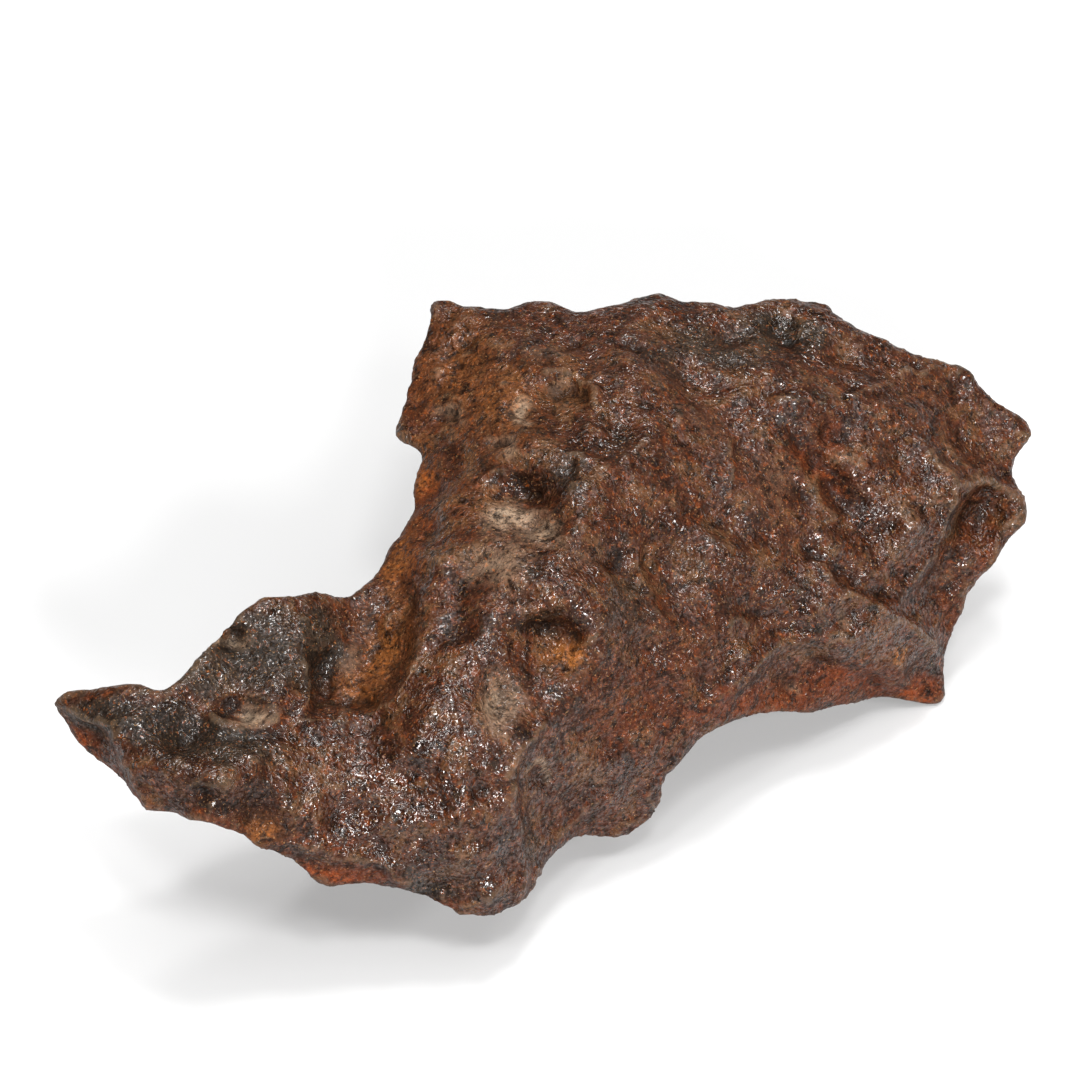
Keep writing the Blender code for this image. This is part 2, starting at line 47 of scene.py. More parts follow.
SKIN = 1.5  # mm between the points of the skin
SOFTENED = 6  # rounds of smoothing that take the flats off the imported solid
GROUND_GAP = 0.05  # mm between the lowest points and the ground
LEAN = math.radians(45)
ACROSS_SHIFT = 1.71  # mm: places on the face are given across and up a plane that leans back
UP_SHIFT = -74.47

# Thumbprints and pits in the face: across, up, length, width, turn, depth. Below zero is a bump.
PIT_SHARE = 0.8  # the share of its depth that each one gets
PITS = [
    # the arm
    (-128, -71, 17, 11, 0, 1.2), (-108, -60, 19, 10, -5, 1.6), (-111, -36, 9, 9, 0, 1.1),
    (-157, -62, 2.6, 2.6, 0, 1), (-160, -62.5, 2.2, 2.2, 0, 1), (-85, -25, 8, 6, 0, 0.8),
    (-97, -27, 9, 6, 20, 0.8), (-78, -50, 22, 10, 82, 2.5), (-105, -100, 7, 6, 0, 0.8),
    (-120, -90, 6, 5, 0, 0.9), (-100, -90, 6, 6, 0, 0.9), (-85, -92, 17, 5, 70, 1.2),
    (-134, -87, 8, 6, 0, 0.8), (-114, -97, 9, 6, -20, 0.9), (-149, -84, 7, 5, 30, 0.7),
    # the brow and the lower front
    (-22, -91, 9, 8, 0, 1.2), (-17, -127, 12, 10, 0, -0.8), (-66, -90, 10, 7, 0, 0.9),
    (-52, -104, 9, 7, 30, 0.8), (-36, -97, 8, 7, 0, 0.8), (-78, -106, 10, 6, 0, 0.8),
    (-40, -84, 8, 6, 0, 0.8), (-12, -118, 6, 4, 0, 0.6), (-55, -72, 9, 6, 0, 0.7),
    # the middle
    (0, -31, 9, 6, 0, 1.6), (12, -36, 8, 7, 0, 1), (-15, -58, 14, 9, 80, 1.2),
    (-16, 20, 8, 5, -40, 0.6), (6, 20, 10, 5, 30, 0.8), (-4, 12, 16, 6, -20, -0.9),
    (35, -17, 9, 5, -50, 1.4), (10, 54, 15, 8, 0, 0.8), (8, 56, 9, 7, 0, -1.8),
    (-33, 46, 9, 6, 0, 0.9), (-7, 47, 8, 8, 0, 1), (-13, 35, 9, 5, 0, 0.9),
    (19.5, 79.5, 4, 1.6, -30, 1.6), (33, 71, 9, 5, 0, 1), (13, 71, 7, 4, 0, 0.8),
    # the right flank and the arch
    (1, -85, 9, 10, 0, 0.9), (-8, -67.5, 8, 8, 0, -1), (18, -90, 5, 13, 0, 0.8),
    (25, -87, 4, 10, 0, 0.8), (33, -89, 4, 10, 0, 0.7), (101, -47, 10, 8, 0, -1.8),
    (91, -52, 9, 5, 0, 0.8), (72, -42, 8, 7, 0, -0.8), (128, -43, 9, 6, 0, -0.7),
    (58, -55, 8, 5, 0, 0.6),
    # the right half
    (107, 19, 24, 10, -52, -2.2), (110, -27, 13, 12, 0, 1.5), (106, 38, 10, 8, 0, 0.5),
    (82, 52, 8, 5, 0, 1.2), (88, 78, 14, 8, 0, 1.4), (91, 72, 9, 4, 0, 1), (97, 74, 3, 3, 0, 0.9),
    (100, 72, 2.6, 2.6, 0, 0.8), (136, 63, 3.6, 6, 0, 1.6), (166, 10, 4.5, 6.5, 0, 0.8),
    (160, -8, 7, 5, 30, 0.8), (154, 53, 14, 4, 40, 1), (137, 12, 9, 7, 0, 0.8),
    (128, 6, 8, 6, 0, 0.8), (118, 30, 9, 7, 0, 0.7), (150, 35, 8, 4, -50, 0.6),
]  # fmt: skip

# Sharp lips and cracks in the face: height, width, points. Below zero is a crack.
LIP_RISE = 1.5  # times the height
LIP_SPREAD = 1.2  # times the width
LIPS = [
    (0.7, 2.6, [(-170, -61), (-160, -64), (-154, -68), (-149, -76), (-146, -86), (-142, -96)]),
    (1.0, 2.6, [(-118, -65), (-110, -68.5), (-97, -65)]),
    (1.0, 2.4, [(-85, -46), (-84, -52), (-85, -60)]),
    (1.0, 3.0, [(-86, -65), (-74, -64), (-61, -62.5), (-52, -58), (-46, -49), (-41, -36)]),
    (1.0, 3.0, [(-92, -112), (-80, -112), (-68, -113.5), (-57, -117), (-48, -124)]),
    (1.2, 3.0, [(1, -67), (-8, -76), (-12, -83)]),
    (0.8, 3.0, [(-11, -90), (-10, -98), (-8, -107), (-6, -120)]),
    (0.9, 3.0, [(62, -60), (70, -52.5), (78, -45), (86, -39)]),
    (1.0, 2.6, [(100, -8), (107, -14), (118, -21), (129, -28), (142, -38)]),
    (1.2, 2.4, [(141, 31), (149, 22), (150, 18), (147, 5), (142, -5), (135, -15)]),
    (0.8, 2.0, [(150, 19.5), (158, 20.5), (166, 19.5), (173, 15)]),
    (1.0, 2.2, [(2, 60), (10, 60.5), (15, 59), (19, 56), (19.5, 50)]),
    (0.8, 1.8, [(-1, 1), (4, 0), (11, 0.5)]),
    (-0.8, 1.8, [(97, 35), (105, 27), (112, 21), (117, 12)]),
    (0.8, 4.0, [(62, 60), (75, 55), (92, 50), (110, 50), (124, 56), (136, 61)]),
    (0.7, 3.0, [(70, 36), (69, 24), (66, 12)]),
    (0.7, 2.4, [(138, 36), (148, 30), (160, 24), (170, 17)]),
    (0.6, 2.4, [(97, 36), (102, 31), (108, 25), (115, 18)]),
    (0.8, 2.4, [(50, 43), (58, 31), (68, 32)]),
    (-0.8, 2.0, [(-20, 26), (-10, 29), (4, 28), (12, 24)]),
]

# Nothing in the skin has a true outline: size of the bends, and how far they push, in mm.
PIT_BENDS = (9, 2.2)
SCALE_BENDS = (12, 3)
PATCH_BENDS = (14, 5)

# The scaly skin is hollows inside hollows: size, depth in mm, and the number of its chance pattern.
SCALES = ((22, 2.6, 5), (10, 1.5, 6), (5, 0.8, 7))
SWELL_SIZE = 30
FLAKE_SIZE, FLAKE_HEIGHT = 4.2, 0.7
ROUGH_SIZE = 40  # some stretches are rougher than others


def places_of(mesh):
    """The places of the mesh's points in millimetres, and their normals."""
    places = np.empty(len(mesh.vertices) * 3)
    normals = np.empty(len(mesh.vertices) * 3)
    mesh.vertices.foreach_get("co", places)
    mesh.vertices.foreach_get("normal", normals)
    return places.reshape(-1, 3) * 1000, normals.reshape(-1, 3)


def move_to(mesh, places):
    mesh.vertices.foreach_set("co", (places / 1000).ravel())
    mesh.update()


def apply_modifiers(obj):
    """Give the object the mesh that its modifiers make."""
    depsgraph = bpy.context.evaluated_depsgraph_get()
    mesh = bpy.data.meshes.new_from_object(obj.evaluated_get(depsgraph))
    obj.modifiers.clear()
    obj.data = mesh


def face_plane(places):
    """Where each point lies across and up the leaning plane."""
    across = places[:, 0] + ACROSS_SHIFT
    up = places[:, 1] * math.sin(LEAN) + places[:, 2] * math.cos(LEAN) + UP_SHIFT
    return across, up


def ellipse(across, up, x, y, length, width, turn):
    """Squared distance from an ellipse's middle, 1 at its edge."""
    cos, sin = math.cos(math.radians(turn)), math.sin(math.radians(turn))
    along = ((across - x) * cos + (up - y) * sin) / (length / 2)
    aside = ((up - y) * cos - (across - x) * sin) / (width / 2)
    return along**2 + aside**2


def from_line(across, up, line):
    """How far each point is from a line of several parts."""
    nearest = np.full(len(across), np.inf)
    for (x0, y0), (x1, y1) in zip(line[:-1], line[1:]):
        dx, dy = x1 - x0, y1 - y0
        share = np.clip(((across - x0) * dx + (up - y0) * dy) / (dx**2 + dy**2), 0, 1)
        nearest = np.minimum(nearest, np.hypot(across - x0 - share * dx, up - y0 - share * dy))
    return nearest


def wobble(places, size, seed=0, octaves=3):
    """Smooth chance heights between about -1 and 1, with lumps of this size in millimetres."""
    shift = Vector((seed * 7.3, seed * 3.1, seed * 5.7))
    return np.array([noise.fractal(Vector(p) / size + shift, 1, 2, octaves) for p in places])


def bent(places, bends, seeds, octaves):
    """The places pushed about by chance, so that what is laid out on them has no true outline."""
    size, push = bends
    return places + np.column_stack([wobble(places, size, seed, octaves) for seed in seeds]) * push


def smooth_step(values, low, high):
    share = np.clip((values - low) / (high - low), 0, 1)
    return share * share * (3 - 2 * share)


lump_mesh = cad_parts["meteorite"].data.copy()
merged = bmesh.new()
merged.from_mesh(lump_mesh)
bmesh.ops.remove_doubles(merged, verts=merged.verts, dist=1e-6)
merged.to_mesh(lump_mesh)
merged.free()
lump = bpy.data.objects.new("lump", lump_mesh)
bpy.context.scene.collection.objects.link(lump)

even = lump.modifiers.new("even skin", "REMESH")
even.mode = "VOXEL"
even.voxel_size = SKIN / 1000
soften = lump.modifiers.new("soften", "SMOOTH")
soften.factor = 0.5
soften.iterations = SOFTENED
apply_modifiers(lump)

# The pits and lips as given, only on the side that looks out of the leaning plane.
places, normals = places_of(lump.data)
across, up = face_plane(bent(places, PIT_BENDS, (11, 12, 13), 2))
out_of_plane = np.array([0, -math.cos(LEAN), math.sin(LEAN)])
facing = smooth_step(normals @ out_of_plane, -0.05, 0.15)
moved = np.zeros(len(places))
for x, y, length, width, turn, depth in PITS:
    reach = ellipse(across, up, x, y, length, width, turn)
    moved -= PIT_SHARE * depth * np.clip(1 - reach, 0, 1) * facing
for height, width, line in LIPS:
    gap = from_line(across, up, line)
    moved += LIP_RISE * height * np.clip(1 - gap / width / LIP_SPREAD, 0, 1) * facing
move_to(lump.data, places + normals * moved[:, None])

# Slow swells, and the scaly skin, where each hollow has a sharp edge to the next.
places, normals = places_of(lump.data)
warped = bent(places, SCALE_BENDS, (1, 2, 3), 3)
strength = np.clip(0.7 + 0.7 * wobble(places, ROUGH_SIZE, 4, 2), 0.25, 1.3)
moved = wobble(places, SWELL_SIZE, 9, 2)
for size, depth, seed in SCALES:
    moved -= depth * np.abs(wobble(warped, size, seed, 1)) * strength
moved += FLAKE_HEIGHT * (0.4 - np.abs(wobble(warped, FLAKE_SIZE, 8, 2))) * strength
move_to(lump.data, places + normals * moved[:, None])

# Nothing reaches below the ground that its feet stand on.
places, normals = places_of(lump.data)
places[:, 2] = np.maximum(places[:, 2], GROUND_GAP)
move_to(lump.data, places)
lump.data.shade_smooth()


# The colour of the skin follows its relief and its patches, which ride on the points of the mesh.
# Patches on the face, of patina and of painted shade and highlight: across, up, length, width,
# turn, strength.
RUST = [
    (-164, -80, 46, 18, -52, 1.2), (-150, -96, 20, 14, 0, 1.1), (-120, -104, 40, 10, -15, 0.8),
    (-75, -120, 50, 10, -12, 1), (-40, -130, 26, 8, -15, 1), (-105, -100, 30, 18, 0, 0.5),
    (80, -58, 70, 14, 8, 0.9), (110, -52, 50, 16, 0, 0.9), (137, -56, 24, 12, 0, 1),
    (30, -62, 44, 40, 0, 0.6), (50, -45, 40, 26, 40, 0.5), (160, 0, 26, 34, 0, 0.6),
    (106, 37, 14, 14, 0, 0.8), (104, 24, 30, 10, -48, 0.9), (150, -28, 16, 30, 0, 0.6),
    (-46, 4, 16, 60, -10, 0.8), (-42, 20, 10, 20, 0, 1), (-45, 60, 12, 60, 0, 0.6),
    (150, 45, 40, 16, -45, 0.4), (-30, -100, 24, 18, 0, 0.5), (20, -100, 40, 18, 0, 0.5),
]  # fmt: skip
GOLD = [
    (-56, -40, 50, 22, 60, 0.8), (-50, -10, 44, 16, 80, 0.8), (-44, 22, 24, 14, 80, 0.8),
    (10, -42, 22, 15, 0, 0.9), (0, -28, 20, 12, 0, 0.6), (-30, 60, 44, 54, 0, 0.72),
    (10, 58, 36, 24, 0, 0.6), (-66, -54, 26, 18, 0, 0.8), (-100, -104, 22, 14, 0, 0.8),
    (-38, 62, 30, 50, 0, 0.6), (-12, 50, 40, 40, 0, 0.75), (-24, 14, 30, 24, 0, 0.6),
    (-60, -30, 18, 50, -30, 0.6), (2, 30, 30, 14, -20, 0.5), (24, 44, 24, 16, 0, 0.4),
    (128, -42, 14, 10, 0, 0.9), (-20, 30, 40, 20, 30, 0.5), (168, 9, 8, 14, 0, 0.6),
    (-45, -98, 30, 20, 0, 0.35), (100, 40, 16, 10, 0, 0.3),
]  # fmt: skip
# Tan: pale patina in shallow bowls, and painted highlight on some crests, a lit bowl wall and the
# glinting face on the right.
TAN_AND_PAINTED_HIGHLIGHT = [
    (-15, -58, 16, 24, -10, 1.0), (-10, 9, 26, 14, 10, 1.1), (2, 2, 24, 12, 0, 1),
    (-14, -8, 30, 20, 0, 0.9), (16, -8, 24, 14, 0, 0.6), (10, 55, 12, 8, 0, 0.8),
    (-33, 46, 14, 9, 0, 0.9), (-7, 47, 10, 11, 0, 1.1), (-13, 35, 12, 7, 0, 0.9),
    (2, 67, 26, 9, 0, 0.6), (110, -27, 9, 9, 0, 0.8), (-102, -61, 14, 10, 0, 1.1),
    (84, 20, 30, 30, -40, 0.55), (-70, -45, 9, 16, 0, 0.7), (60, 40, 40, 14, -40, 0.5),
    (91, -52, 10, 5, 0, 0.8), (-111, -36, 12, 10, 0, 1.2), (-128, -72, 16, 10, 0, 0.35),
    (1, -84, 5, 8, 0, 1), (95, -18, 36, 14, -30, 0.25), (148, 27, 22, 7, -30, 0.5),
    (136, 12, 26, 18, 30, 0.55), (12, -15, 24, 16, 0, 0.4),
]  # fmt: skip
# Soot: dark patina on the arm, and painted shade on the walls of pits, hollows and crevices that
# face away from the light.
SOOT_AND_PAINTED_SHADE = [
    (-79, -50, 12, 24, 0, 0.7), (-128, -80, 40, 10, -10, 0.7), (-96, -44, 42, 30, 0, 0.55),
    (-135, -66, 60, 22, -8, 0.75), (-114, -62, 9, 9, 0, 0.9), (-88, -28, 24, 14, 0, 0.6),
    (-112, -94, 50, 14, -14, 0.8), (-48, 0, 12, 40, -20, 0.5), (60, -6, 60, 40, -40, 0.5),
    (40, 6, 30, 30, 0, 0.4), (-70, -118, 60, 8, -14, 0.4), (-30, -122, 40, 14, -24, 0.6),
    (-4, 22, 24, 9, 10, 0.8), (-2, -31, 20, 9, 0, 1.3), (76, -2, 30, 40, -20, 0.5),
    (109, 19, 22, 7, -52, 1), (27, -6, 20, 8, -60, 0.9), (-120, -92, 16, 10, 0, 0.8),
    (-100, -88, 16, 10, 0, 0.8), (-38, -126, 20, 6, -25, 0.9), (150, 8, 8, 26, -15, 0.8),
    (91, 72, 14, 6, 0, 0.8), (112, 36, 5, 12, 0, 0.7), (-150, -64, 34, 10, -8, 0.6),
    (44, -18, 30, 24, 0, 0.35), (60, 72, 70, 16, 0, 0.4), (-4, -112, 8, 30, 0, 0.6),
    (-6, -88, 7, 12, 0, 0.5), (118, -16, 30, 8, -25, 0.5), (-40, 30, 10, 10, 0, 0.5),
]  # fmt: skip
GREY = [
    (-150, -62, 50, 12, -4, 1), (-120, -72, 60, 18, -8, 1), (-110, -40, 60, 34, 0, 0.9),
    (-80, -40, 16, 34, 0, 0.9), (-118, -92, 50, 12, -14, 0.4), (88, 76, 34, 12, 0, 0.9),
    (60, 68, 60, 16, 0, 0.7), (20, 60, 40, 20, 0, 0.4), (28, 34, 26, 16, 0, 0.5),
    (10, 24, 26, 14, -40, 0.7), (30, -24, 24, 30, -30, 0.6), (40, -30, 30, 40, 0, 0.4),
    (-40, -124, 30, 10, -30, 0.8), (-4, -112, 8, 26, 0, 0.5), (44, 62, 40, 16, -40, 0.5),
    (150, 30, 40, 12, -30, 0.4), (128, 30, 40, 20, -40, 0.4),
]  # fmt: skip
BARE = [
    (-55, -96, 64, 38, -20, 1.2), (-34, -64, 30, 34, 0, 1), (136, 11, 40, 28, 30, 1.2),
    (28, -88, 26, 20, 0, 0.9), (-128, -80, 36, 9, -10, 0.8), (-90, -27, 24, 10, 0, 0.7),
    (88, 79, 18, 10, 0, 0.9), (-22, -118, 30, 20, 0, 0.7), (8, 22, 18, 16, 0, 0.5),
    (30, 40, 24, 14, 0, 0.5), (120, -32, 44, 20, -25, 1), (14, -14, 26, 20, 0, 0.7),
    (1, -84, 8, 10, 0, 1.2), (28, -86, 24, 16, 0, 0.7), (90, -15, 60, 20, -30, 0.6),
    (70, -42, 14, 9, 0, 0.9), (165, 0, 12, 22, -20, 0.6), (-75, -75, 40, 14, 0, 0.6),
    (-20, -45, 20, 16, 0, 0.6), (-82, -95, 12, 16, 0, 0.7),
]  # fmt: skip

PATCHES = {"rust": RUST, "gold": GOLD, "tan_and_painted_highlight": TAN_AND_PAINTED_HIGHLIGHT, "soot_and_painted_shade": SOOT_AND_PAINTED_SHADE, "grey": GREY, "bare": BARE}
PATCH_REACH = 1.3  # a patch fades out over this many times its size
CHANCE_SIZE = 38  # mm across the chance patches on the sides that are hidden from the face
CHANCE_STRENGTH = 0.7
HOLLOW_ROUNDS = 4  # how far around a point the skin is evened out, to tell hollows from crests
HOLLOW_DEPTH = 0.5  # mm


def averaged(values, ends, count, rounds):
    """Values evened out with their neighbours' along the edges."""
    near = np.bincount(ends.ravel(), minlength=count)
    for _ in range(rounds):
        total = np.column_stack(
            [
                np.bincount(ends[:, 0], values[ends[:, 1], axis], count)
                + np.bincount(ends[:, 1], values[ends[:, 0], axis], count)
                for axis in range(values.shape[1])
            ]
        )
        values = (values + total) / (near + 1)[:, None]
    return values


def store(mesh, name, values):
    attribute = mesh.attributes.new(name, "FLOAT", "POINT")
    attribute.data.foreach_set("value", values.astype(np.float32))


places, normals = places_of(lump.data)
ends = np.empty(len(lump.data.edges) * 2, dtype=np.int32)
lump.data.edges.foreach_get("vertices", ends)
evened = averaged(places, ends.reshape(-1, 2), len(places), HOLLOW_ROUNDS)
hollow = ((evened - places) * normals).sum(axis=1)
store(lump.data, "hollow", np.clip(hollow / HOLLOW_DEPTH, -1, 1))

across, up = face_plane(bent(places, PATCH_BENDS, (14, 15, 16), 3))
hidden = 1 - smooth_step(normals @ out_of_plane, -0.1, 0.25)
for number, (name, patches) in enumerate(PATCHES.items()):
    amount = np.zeros(len(places))
    for x, y, length, width, turn, strength in patches:
        reach = ellipse(across, up, x, y, length * PATCH_REACH, width * PATCH_REACH, turn)
        amount = np.maximum(amount, strength * np.exp(-1.2 * reach**1.3))
    by_chance = CHANCE_STRENGTH * smooth_step(
        wobble(places, CHANCE_SIZE, 20 + number, 3), 0.05, 0.75
    )
    store(lump.data, name, np.clip(amount * (1 - hidden) + by_chance * hidden, 0, 1.2))


# Weathered nickel-iron: black magnetite and brown goethite scale, rubbed and waxed, so that every
# flake glints. Scale flakes are 1 to 2 mm, rust blooms 5 to 20 mm.
NOISES = (  # name, size in mm, detail, roughness
    ("blotch", 12, 5, 0.6),
    ("mottle", 4.5, 4, 0.65),
    ("speck", 1.7, 3, 0.65),
    ("grain", 0.8, 2, 0.6),
    ("other", 3.1, 3, 0.6),
)

# The bare scale runs from near black through red-brown to grey-brown.
SCALE_COLOURS = (
    (0.3, "#2e1c15"),
    (0.42, "#472a1e"),
    (0.52, "#593526"),
    (0.6, "#66452f"),
    (0.7, "#745544"),
)

# What lies on the scale, with painted shade and painted highlight among it, from the bottom up: the
# patch it keeps to, the noise that breaks it up, its colour, the value where it starts, the value
# where it is thickest, and how much it covers.
LAYERS = (
    (None, "other", "#8f4a22", 0.56, 0.7, 0.42),
    (None, "other", "#74604f", 0.44, 0.3, 0.45),
    ("grey", "mottle", "#3f362f", 0.5, 1.3, 0.8),
    ("rust", "mottle", "#703a20", 0.5, 1.5, 0.75),
    ("gold", "mottle", "#794c2b", 0.4, 1.7, 0.7),
    # pale patina, and painted highlight where the tan patches lie on lit crests and walls
    ("tan_and_painted_highlight", "mottle", "#927766", 0.5, 1.9, 0.75),
    # dark patina, and painted shade on the shadowed walls of pits, hollows and crevices
    ("soot_and_painted_shade", "mottle", "#21160f", 0.5, 1.6, 0.7),
    ("rust", "other", "#9f5228", 1.4, 1.85, 0.6),
    ("gold", "speck", "#b3733c", 1.1, 1.7, 0.6),
    # pale flecks of patina, and painted highlight on lit crests
    ("tan_and_painted_highlight", "speck", "#b19682", 1.4, 1.9, 0.6),
    (None, "mottle", "#241813", 0.5, 0.32, 0.8),
    (None, "other", "#1b120d", 0.45, 0.32, 0.65),
    (None, "speck", "#a85c29", 0.57, 0.72, 0.5),
    (None, "speck", "#150e0b", 0.46, 0.33, 0.55),
    (None, "grain", "#c0926a", 0.6, 0.75, 0.55),
    (None, "grain", "#0f0a08", 0.44, 0.3, 0.55),
    # painted shade: darker in the hollows of the relief; the next line makes the crests lighter
    ("hollow", None, "#1d130e", 0.2, 1, 0.5),
    ("hollow", None, "#8b705c", -0.25, -1, 0.3),
)
WAX_DEEPENS = 1.3  # wax darkens the dark scale more than the light
WAX_TINT = (1.3, 1.53, 1.56, 1)  # and leaves it less red
CRINKLE = 2.5  # mm between the crests of the flakes, a little coarser than real so that they show
WAX_CREST = 0.00033  # metres: wax fills the crinkles of the scale in part
SCALE_CREST = 0.0005

# What each patch adds to the roughness, and to the share of the surface that still has its wax.
ROUGHNESS_ADDED = {"bare": -0.2, "tan_and_painted_highlight": 0.15, "gold": 0.12, "rust": 0.12, "soot_and_painted_shade": 0.1}
WAX_ADDED = {"bare": 0.5, "tan_and_painted_highlight": -0.6, "gold": -0.4, "rust": -0.55, "soot_and_painted_shade": -0.3}


def linear(code):
    """An sRGB hex colour as linear values."""
    parts = [int(code[i : i + 2], 16) / 255 for i in (1, 3, 5)]
    return [p / 12.92 if p <= 0.04045 else ((p + 0.055) / 1.055) ** 2.4 for p in parts] + [1]


patina = bpy.data.materials.new("weathered_nickel_iron")
patina.use_nodes = True
tree = patina.node_tree
tree.nodes.clear()


def add(kind, links=None, values=None, **settings):
    """A node of the tree at hand, with its settings, with links and with values for its inputs."""
    made = tree.nodes.new(kind)
    for name, value in settings.items():
        setattr(made, name, value)
    for name, value in (values or {}).items():
        made.inputs[name].default_value = value
    for name, source in (links or {}).items():
        tree.links.new(source, made.inputs[name])
    return made


spot = add("ShaderNodeTexCoord").outputs["Object"]
patch_noise = {}
for name, size, detail, roughness in NOISES:
    values = {"Scale": 1000 / size, "Detail": detail, "Roughness": roughness, "Distortion": 0.6}
    where = add("ShaderNodeVectorMath", {0: spot}, {1: (size, size * 2, size * 3)}, operation="ADD")
    made = add("ShaderNodeTexNoise", {"Vector": where.outputs[0]}, values)
    patch_noise[name] = made.outputs["Fac"]
carried = {
    name: add("ShaderNodeAttribute", attribute_name=name).outputs["Fac"]
    for name in ("hollow", *PATCHES)
}

ramp = add("ShaderNodeValToRGB", {"Fac": patch_noise["blotch"]})
stops = ramp.color_ramp.elements
stops.remove(stops[0])
stops[0].position, stops[0].color = SCALE_COLOURS[0][0], linear(SCALE_COLOURS[0][1])
for position, code in SCALE_COLOURS[1:]:
    stops.new(position).color = linear(code)
colour = ramp.outputs["Color"]

for patch, broken_by, code, low, high, most in LAYERS:
    amount = patch_noise[broken_by] if broken_by else carried[patch]
    if patch and broken_by:
        breaking = add("ShaderNodeMath", {0: amount}, {1: 1.3, 2: 1}, operation="MULTIPLY_ADD")
        links = {0: carried[patch], 1: breaking.outputs[0]}
        amount = add("ShaderNodeMath", links, operation="MULTIPLY").outputs[0]
    values = {"From Min": low, "From Max": high, "To Max": most}
    share = add("ShaderNodeMapRange", {"Value": amount}, values, interpolation_type="SMOOTHSTEP")
    links = {0: share.outputs["Result"], 6: colour}
    colour = add("ShaderNodeMix", links, {7: linear(code)}, data_type="RGBA").outputs[2]

deep = add("ShaderNodeGamma", {"Color": colour}, {"Gamma": WAX_DEEPENS})
waxed = add(
    "ShaderNodeMix",
    {6: deep.outputs[0]},
    {0: 1, 7: WAX_TINT},
    data_type="RGBA",
    blend_type="MULTIPLY",
)

# The finest relief has sharp crests. They are steepest where the scale is bare.
relief = add(
    "ShaderNodeTexNoise",
    {"Vector": spot},
    {
        "Scale": 1000 / CRINKLE,
        "Detail": 1.3,
        "Roughness": 0.6,
        "Lacunarity": 2.1,
        "Offset": 0.9,
        "Gain": 1.5,
        "Distortion": 0.5,
    },
    noise_type="RIDGED_MULTIFRACTAL",
).outputs["Fac"]
uneven = add(
    "ShaderNodeMapRange",
    {"Value": patch_noise["blotch"]},
    {"From Min": 0.38, "From Max": 0.62, "To Min": 0.35, "To Max": 0.95},
)
steep = add(
    "ShaderNodeMath",
    {0: carried["bare"], 2: uneven.outputs["Result"]},
    {1: 0.35},
    operation="MULTIPLY_ADD",
    use_clamp=True,
).outputs[0]
wax_bump = add("ShaderNodeBump", {"Height": relief, "Strength": steep}, {"Distance": WAX_CREST})
scale_bump = add("ShaderNodeBump", {"Height": relief, "Strength": steep}, {"Distance": SCALE_CREST})

# Bare scale is glossy where it was rubbed, and dull where rust and dust lie in it.
dullness = add(
    "ShaderNodeMapRange",
    {"Value": patch_noise["mottle"]},
    {"From Min": 0.35, "From Max": 0.65, "To Min": 0.26, "To Max": 0.5},
).outputs["Result"]
for name, added in ROUGHNESS_ADDED.items():
    links = {0: carried[name], 2: dullness}
    dullness = add("ShaderNodeMath", links, {1: added}, operation="MULTIPLY_ADD").outputs[0]
dullness = add("ShaderNodeClamp", {"Value": dullness}, {"Min": 0.14, "Max": 0.85}).outputs[0]

wax = add(
    "ShaderNodeMapRange",
    {"Value": patch_noise["speck"]},
    {"From Min": 0.42, "From Max": 0.56, "To Min": -0.25, "To Max": 0.9},
).outputs["Result"]
for name, added in WAX_ADDED.items():
    wax = add(
        "ShaderNodeMath", {0: carried[name], 2: wax}, {1: added}, operation="MULTIPLY_ADD"
    ).outputs[0]
wax = add("ShaderNodeClamp", {"Value": wax}, {"Min": 0, "Max": 1}).outputs[0]

# The wax was rubbed off the rims, so it doesn't shine where the skin turns away.
turned = add("ShaderNodeLayerWeight", values={"Blend": 0.5})
kept = add(
    "ShaderNodeMapRange",
    {"Value": turned.outputs["Facing"]},
    {"From Min": 0.45, "From Max": 0.85, "To Min": 1, "To Max": 0.12},
)
wax = add("ShaderNodeMath", {0: wax, 1: kept.outputs["Result"]}, operation="MULTIPLY").outputs[0]

shader = add(
    "ShaderNodeBsdfPrincipled",
    {
        "Base Color": waxed.outputs[2],
        "Roughness": dullness,
        "Normal": scale_bump.outputs["Normal"],
        "Coat Normal": wax_bump.outputs["Normal"],
        "Coat Weight": wax,
    },
    {
        "Metallic": 0,
        "IOR": 1.5,
        "Specular IOR Level": 0.12,
        "Coat IOR": 1.5,
        "Coat Roughness": 0.08,
    },
)
add("ShaderNodeOutputMaterial", {"Surface": shader.outputs["BSDF"]})
lump.data.materials.clear()
lump.data.materials.append(patina)

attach(lump, "root")
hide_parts("meteorite")


# ------------------------------------------------------------------------------------------------
# The ground: a plain sheet of matt white paper, far wider than the view. The paper is a little
# grey, so that it throws less light up at the lump, and it glows just enough to look white.

FLOOR_REACH = 8  # metres from the middle to an edge
FLOOR_GLOW = 0.13  # seen, but not thrown on the lump

floor_mesh = bpy.data.meshes.new("floor")
floor_made = bmesh.new()
bmesh.ops.create_grid(floor_made, x_segments=1, y_segments=1, size=FLOOR_REACH)
floor_made.to_mesh(floor_mesh)
floor_made.free()
floor = bpy.data.objects.new("floor", floor_mesh)
bpy.context.scene.collection.objects.link(floor)

matt_white = bpy.data.materials.new("matt_white_paper")
matt_white.use_nodes = True
tree = matt_white.node_tree
tree.nodes.clear()
seen = add("ShaderNodeLightPath").outputs["Is Camera Ray"]
glow = add("ShaderNodeMath", {0: seen}, {1: FLOOR_GLOW}, operation="MULTIPLY")
paper = add(
    "ShaderNodeBsdfPrincipled",
    {"Emission Strength": glow.outputs[0]},
    {
        "Base Color": linear("#cccccc"),
        "Roughness": 0.9,
        "Specular IOR Level": 0.1,
        "Emission Color": linear("#ffffff"),
    },
)
add("ShaderNodeOutputMaterial", {"Surface": paper.outputs["BSDF"]})
floor.data.materials.append(matt_white)


# ------------------------------------------------------------------------------------------------
# The light: one wide soft lamp overhead, a strong one in front, and five weak ones around them,
# whose small discs glint in the wax. The room looks white, but throws little light on the lump.

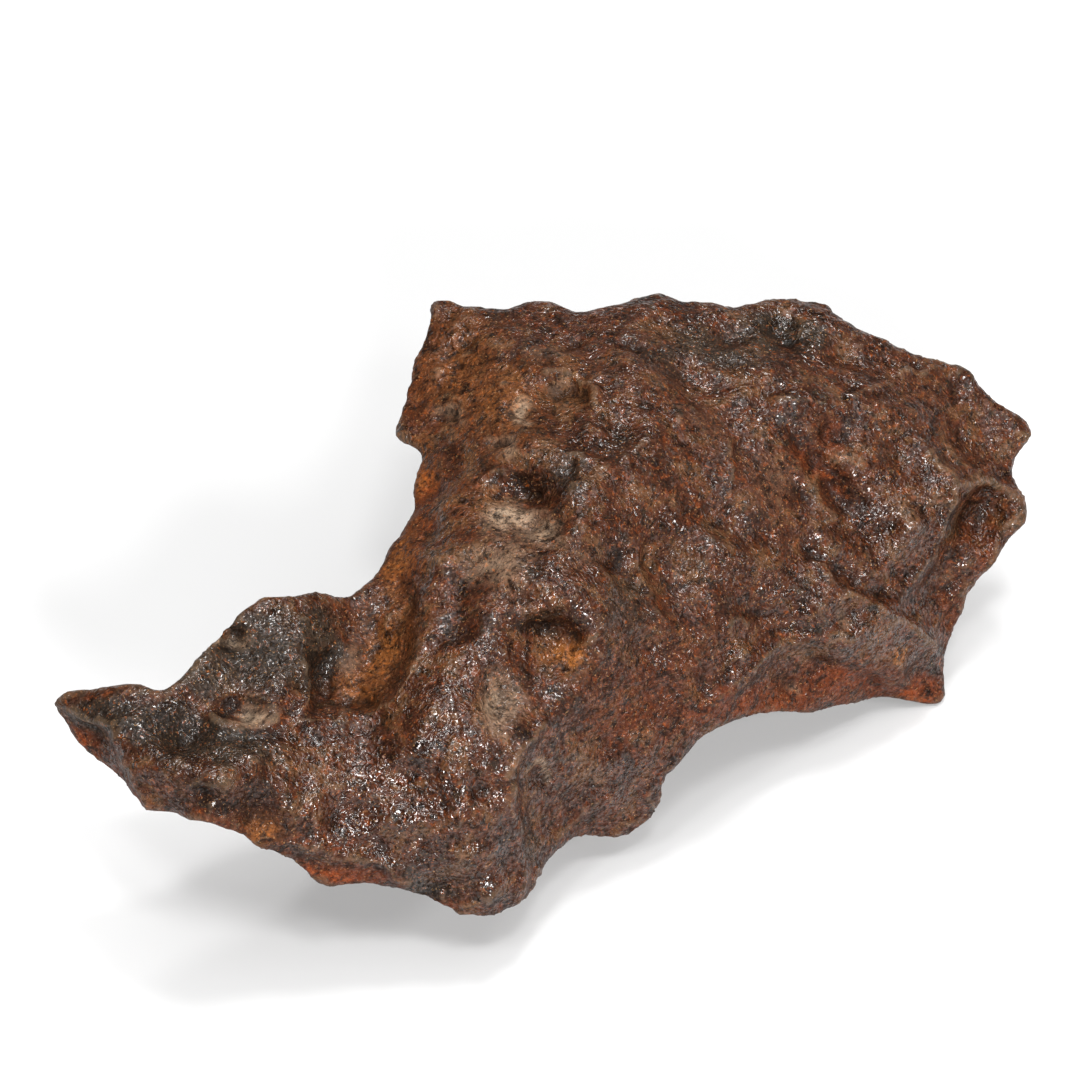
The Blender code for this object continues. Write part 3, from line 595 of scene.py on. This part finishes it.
LAMPS = (  # name, where it shines from, strength, width in degrees
    ("overhead", (0.1, 0.05, 1), 1.5, 70),
    ("front", (0.15, -0.85, 0.5), 2.65, 12),
    ("top", (0.1, 0.15, 1), 0.9, 9),
    ("right", (0.75, -0.42, 0.52), 0.7, 9),
    ("left", (-0.2, -0.35, 0.9), 0.5, 9),
    ("high front", (0.1, -0.35, 0.9), 0.7, 9),
    ("back", (0.15, 0.65, 0.75), 0.6, 9),
)
ROOM_LIGHT = 0.07

for name, way_to, strength, width in LAMPS:
    light = bpy.data.lights.new(name, "SUN")
    light.energy = strength
    light.angle = math.radians(width)
    lamp = bpy.data.objects.new(name, light)
    lamp.rotation_mode = "QUATERNION"
    lamp.rotation_quaternion = Vector(way_to).to_track_quat("Z", "Y")
    lamp.location = Vector(way_to) * 1.5
    bpy.context.scene.collection.objects.link(lamp)

world = bpy.data.worlds.new("pale room")
bpy.context.scene.world = world
world.use_nodes = True
tree = world.node_tree
tree.nodes.clear()
seen = add("ShaderNodeLightPath").outputs["Is Camera Ray"]
brightness = add("ShaderNodeMapRange", {"Value": seen}, {"To Min": ROOM_LIGHT, "To Max": 1})
room = add(
    "ShaderNodeBackground",
    {"Strength": brightness.outputs["Result"]},
    {"Color": linear("#ffffff")},
)
add("ShaderNodeOutputWorld", {"Surface": room.outputs[0]})


# ------------------------------------------------------------------------------------------------
# The camera looks down at 45 degrees through a long lens.

VIEW_WIDTH = 0.3888  # metres across the view, at the lump
AIM_DEPTH = 0.12  # metres in front of the middle of the base
LENS = 1500
SENSOR = 36

camera_data = bpy.data.cameras.new("camera")
camera_data.lens = LENS
camera_data.sensor_width = SENSOR
camera_data.clip_end = 100
camera = bpy.data.objects.new("camera", camera_data)
bpy.context.scene.collection.objects.link(camera)
towards = Vector(out_of_plane)
upwards = Vector((0, math.sin(LEAN), math.cos(LEAN)))
aim = Vector((-ACROSS_SHIFT / 1000, 0, 0)) - upwards * UP_SHIFT / 1000 + towards * AIM_DEPTH
camera.location = aim + towards * (VIEW_WIDTH / SENSOR * LENS)
camera.rotation_mode = "QUATERNION"
camera.rotation_quaternion = towards.to_track_quat("Z", "Y")
bpy.context.scene.camera = camera
bpy.context.scene.view_settings.view_transform = "Standard"
